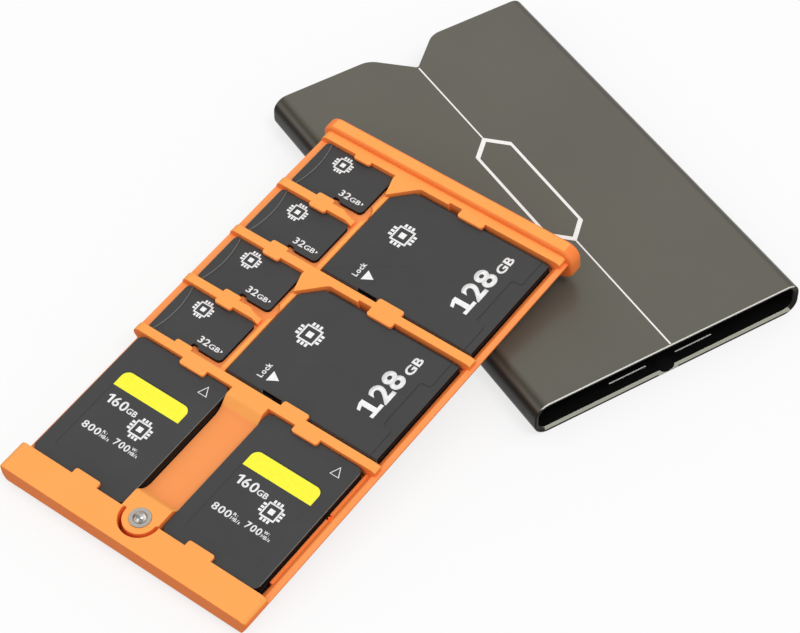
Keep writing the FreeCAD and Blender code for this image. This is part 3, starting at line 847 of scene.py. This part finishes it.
def glyph(letter, weight):
    """Flat mesh of one letter."""
    curve = bpy.data.curves.new("letter", "FONT")
    curve.body = letter
    curve.offset = weight
    holder = bpy.data.objects.new("letter", curve)
    bpy.context.scene.collection.objects.link(holder)
    mesh = baked(holder)
    bpy.data.objects.remove(holder)
    return mesh


def word(text, weight, one=flagged_one, gap=letter_gap):
    """Flat mesh of some lettering, set letter by letter and made bolder by weight."""
    work = bmesh.new()
    start = 0
    for letter in text:
        mesh = polygon(one) if letter == "1" else glyph(letter, weight)
        left, right = reach([vertex.co for vertex in mesh.vertices], rightwards)
        for vertex in mesh.vertices:
            vertex.co.x += start - left
        work.from_mesh(mesh)
        start += right - left + gap
    return as_mesh("word", work)


def polygon(points):
    """Flat mesh of one face."""
    mesh = bpy.data.meshes.new("polygon")
    mesh.from_pydata([(x, y, 0) for x, y in points], [], [tuple(range(len(points)))])
    return mesh


def ring(outer, inner):
    """Flat meshes between two outlines with as many corners."""
    count = len(outer)
    return [polygon([outer[k - 1], outer[k], inner[k], inner[k - 1]]) for k in range(count)]


def rounded_top(left, right, low, high, radius):
    """Corners of a rectangle whose two upper corners are round."""
    points = [(left, low), (right, low)]
    for middle, start in ((right - radius, 0), (left + radius, 90)):
        for i in range(corner_steps + 1):
            angle = math.radians(start + 90 * i / corner_steps)
            points.append((middle + radius * math.cos(angle), high - radius + radius * math.sin(angle)))
    return points


def fitted(mesh, low, high, sideways=False):
    """Mesh stretched to a field of the card, from low to high; sideways, it reads along the tray."""
    points = [vertex.co for vertex in mesh.vertices]
    left, right = reach(points, rightwards)
    foot, head = reach(points, forwards)
    for vertex in mesh.vertices:
        x = (vertex.co.x - left) / (right - left)
        y = (vertex.co.y - foot) / (head - foot)
        if sideways:
            x, y = 1 - y, x
        vertex.co = (low[0] + x * (high[0] - low[0]), low[1] + y * (high[1] - low[1]), 0)
    return mesh


def marked(name, top, grid, ink, marks):
    """Lays flat marks on a piece's top as a thin layer; grid is their zero point and three directions."""
    zero, right, ahead, up = grid
    height = reach([vertex.co for vertex in top.data.vertices], up)[1] + cast_above * MM
    work = bmesh.new()
    work.from_mesh(top.data)
    surface = BVHTree.FromBMesh(work)
    work.free()
    work = bmesh.new()
    for mark in marks:
        part = bmesh.new()
        part.from_mesh(mark)
        spots = [zero + right * v.co.x * MM + ahead * v.co.y * MM + up * height for v in part.verts]
        level = max(surface.ray_cast(spot, -up)[0].dot(up) for spot in spots)
        for vertex, spot in zip(part.verts, spots):
            vertex.co = spot + up * (level + mark_rise * MM - height)
        raised = bmesh.ops.extrude_face_region(part, geom=part.faces[:])["geom"]
        sunk = [item for item in raised if isinstance(item, bmesh.types.BMVert)]
        bmesh.ops.translate(part, vec=-up * (mark_rise + mark_sink) * MM, verts=sunk)
        bmesh.ops.recalc_face_normals(part, faces=part.faces)
        work.from_mesh(as_mesh("mark", part))
    return link(name, as_mesh(name, work), ink)


def printed(name, top, body, ink, marks):
    """Prints marks, given in the card's own millimetres, on a card."""
    points = [vertex.co for vertex in top.data.vertices]
    corner = across * reach(points, across)[0] + along * reach(points, along)[0]
    settle(marked(name, top, (corner, across, along, out), ink, marks), body, "card_plastic")


def make_sleeve_marks(tube):
    """Hexagon and centre line lasered on the sleeve's top."""
    half, shoulder, tip = hexagon_half, hexagon_shoulder, hexagon_tip
    outer = [(0, tip), (half, shoulder), (half, -shoulder), (0, -tip), (-half, -shoulder), (-half, shoulder)]
    slope = (tip - shoulder) / half
    side = half - hexagon_side_width
    peak = tip - hexagon_tip_drop
    edge = peak - slope * side
    inner = [(0, peak), (side, edge), (side, -edge), (0, -peak), (-side, -edge), (-side, edge)]
    marks = ring(outer, inner)
    left, right = -line_width / 2, line_width / 2
    for low, high in ((line_mouth, -tip), (tip, line_notch)):
        marks.append(polygon([(left, low), (right, low), (right, high), (left, high)]))
    grid = Vector((0, 0, 0)), rightwards, forwards, upwards
    settle(marked("sleeve_marks", tube, grid, mark_and_ridge_highlight, marks), "sleeve", "sleeve_metal")


def chip(tree, low, high):
    """Sign of a chip that fills a field of the card."""
    values = {
        "Ring": chip_ring,
        "Line": chip_line,
        "Core": chip_core,
        "Legs": chip_legs,
        "Finish": white_ink,
    }
    return fitted(grown(tree, values), low, high)


def lettering(words, weight, sideways=False):
    """Words in their fields of the card."""
    return [fitted(word(text, weight), low, high, sideways) for text, low, high in words]


def make_prints(tops):
    """Plain figures, legends and signs on the cards."""
    tree = chip_tree()
    for i in micro_cards:
        marks = lettering(micro_words, ink_weight)
        marks += [polygon(micro_arrow), chip(tree, *micro_chip)]
        printed(f"micro_print_{i}", tops[f"micro_{i}"], f"micro_{i}", white_ink, marks)
    for i in large_cards:
        text, low, high = sd_figures
        marks = [fitted(word(text, bold_weight, footed_one, close_gap), low, high, sideways=True)]
        marks += lettering(sd_words, bold_weight, sideways=True)
        marks += [polygon(sd_arrow), chip(tree, *sd_chip)]
        printed(f"sd_print_{i}", tops[f"sd_{i}"], f"sd_{i}", white_ink, marks)
    for i in flat_cards:
        marks = ring(cf_arrow, cf_arrow_inside) + lettering(cf_words, ink_weight)
        marks.append(chip(tree, *cf_chip))
        printed(f"cf_print_{i}", tops[f"cf_{i}"], f"cf_{i}", white_ink, marks)
        stripe = polygon(rounded_top(**cf_stripe))
        printed(f"cf_stripe_{i}", tops[f"cf_{i}"], f"cf_{i}", yellow_ink, [stripe])


# Stage: floor, surroundings and lamps (name, azimuth, elevation, strength, softness)
floor_reach = 3000.0
floor_gap = 0.02
floor_glow_share = 0.75
ambient_level = 0.7
lamps = (("key", 20.0, 62.0, 0.9, 24.0), ("fill", -75.0, 35.0, 0.3, 40.0))
background_rays = ("Is Camera Ray", "Is Glossy Ray", "Is Transmission Ray")


def seen_directly(tree):
    """1 for the rays that show the background, 0 for those that light the object."""
    path = add(tree, "ShaderNodeLightPath")
    seen = path.outputs[background_rays[0]]
    for ray in background_rays[1:]:
        seen = add(tree, "ShaderNodeMath", {0: seen, 1: path.outputs[ray]}, operation="MAXIMUM").outputs[0]
    return seen


def make_surroundings():
    """White surroundings that light the object at a plain level."""
    world = bpy.data.worlds.new("studio")
    bpy.context.scene.world = world
    world.use_nodes = True
    tree = world.node_tree
    tree.nodes.clear()
    seen = seen_directly(tree)
    level = add(tree, "ShaderNodeMapRange", {"Value": seen, "To Min": ambient_level, "To Max": 1.0})
    white = add(tree, "ShaderNodeBackground", {"Color": (1, 1, 1, 1), "Strength": level.outputs[0]})
    add(tree, "ShaderNodeOutputWorld", {"Surface": white.outputs[0]})


def make_floor():
    """Pale floor that glows a little where it is seen, and keeps the shadow."""
    half = floor_reach * MM
    mesh = bpy.data.meshes.new("floor")
    corners = [(-half, -half), (half, -half), (half, half), (-half, half)]
    mesh.from_pydata([(x, y, -floor_gap * MM) for x, y in corners], [], [(0, 1, 2, 3)])
    material = bpy.data.materials.new("pale_floor")
    material.use_nodes = True
    tree = material.node_tree
    tree.nodes.clear()
    seen = seen_directly(tree)
    share = add(tree, "ShaderNodeMath", {0: seen, 1: floor_glow_share}, operation="MULTIPLY").outputs[0]
    # The floor throws back less light on the object than it shows, as a table with dark surroundings does
    shades = {0: seen, 6: linear("#A0A0A0"), 7: linear("#F7F7F7")}
    shade = add(tree, "ShaderNodeMix", shades, data_type="RGBA").outputs[2]
    matte = add(tree, "ShaderNodeBsdfDiffuse", {"Color": shade}).outputs[0]
    glow = add(tree, "ShaderNodeEmission", {"Color": (1, 1, 1, 1)}).outputs[0]
    blend = add(tree, "ShaderNodeMixShader", {0: share, 1: matte, 2: glow}).outputs[0]
    add(tree, "ShaderNodeOutputMaterial", {"Surface": blend})
    link("floor", mesh, material)


def towards(azimuth, elevation):
    """Direction at an azimuth, from the front towards +X, and an elevation, both in degrees."""
    turn, lift = math.radians(azimuth), math.radians(elevation)
    level = math.cos(lift)
    return Vector((math.sin(turn) * level, -math.cos(turn) * level, math.sin(lift)))


def make_lamps():
    """Soft key and fill light."""
    for name, azimuth, elevation, strength, softness in lamps:
        lamp = bpy.data.lights.new(name, "SUN")
        lamp.energy = strength
        lamp.angle = math.radians(softness)
        holder = bpy.data.objects.new(name, lamp)
        holder.rotation_euler = towards(azimuth, elevation).to_track_quat("Z", "Y").to_euler()
        bpy.context.scene.collection.objects.link(holder)


def make_camera():
    """Camera at the photograph's place."""
    lens = bpy.data.cameras.new("camera")
    lens.lens = lens_length
    lens.sensor_width = sensor_width
    lens.sensor_fit = "HORIZONTAL"
    lens.clip_start = camera_near * MM
    lens.clip_end = camera_far * MM
    back = towards(camera_azimuth, camera_elevation)
    holder = bpy.data.objects.new("camera", lens)
    holder.location = (Vector(camera_target) + back * camera_distance) * MM
    holder.rotation_euler = back.to_track_quat("Z", "Y").to_euler()
    bpy.context.scene.collection.objects.link(holder)
    bpy.context.scene.camera = holder


make_camera()
make_surroundings()
make_floor()
make_lamps()
make_tray()
make_sleeve_marks(make_sleeve())
make_spring()
finish_plain_nodes()
make_prints(make_cards())
bpy.context.scene.view_settings.view_transform = "Standard"
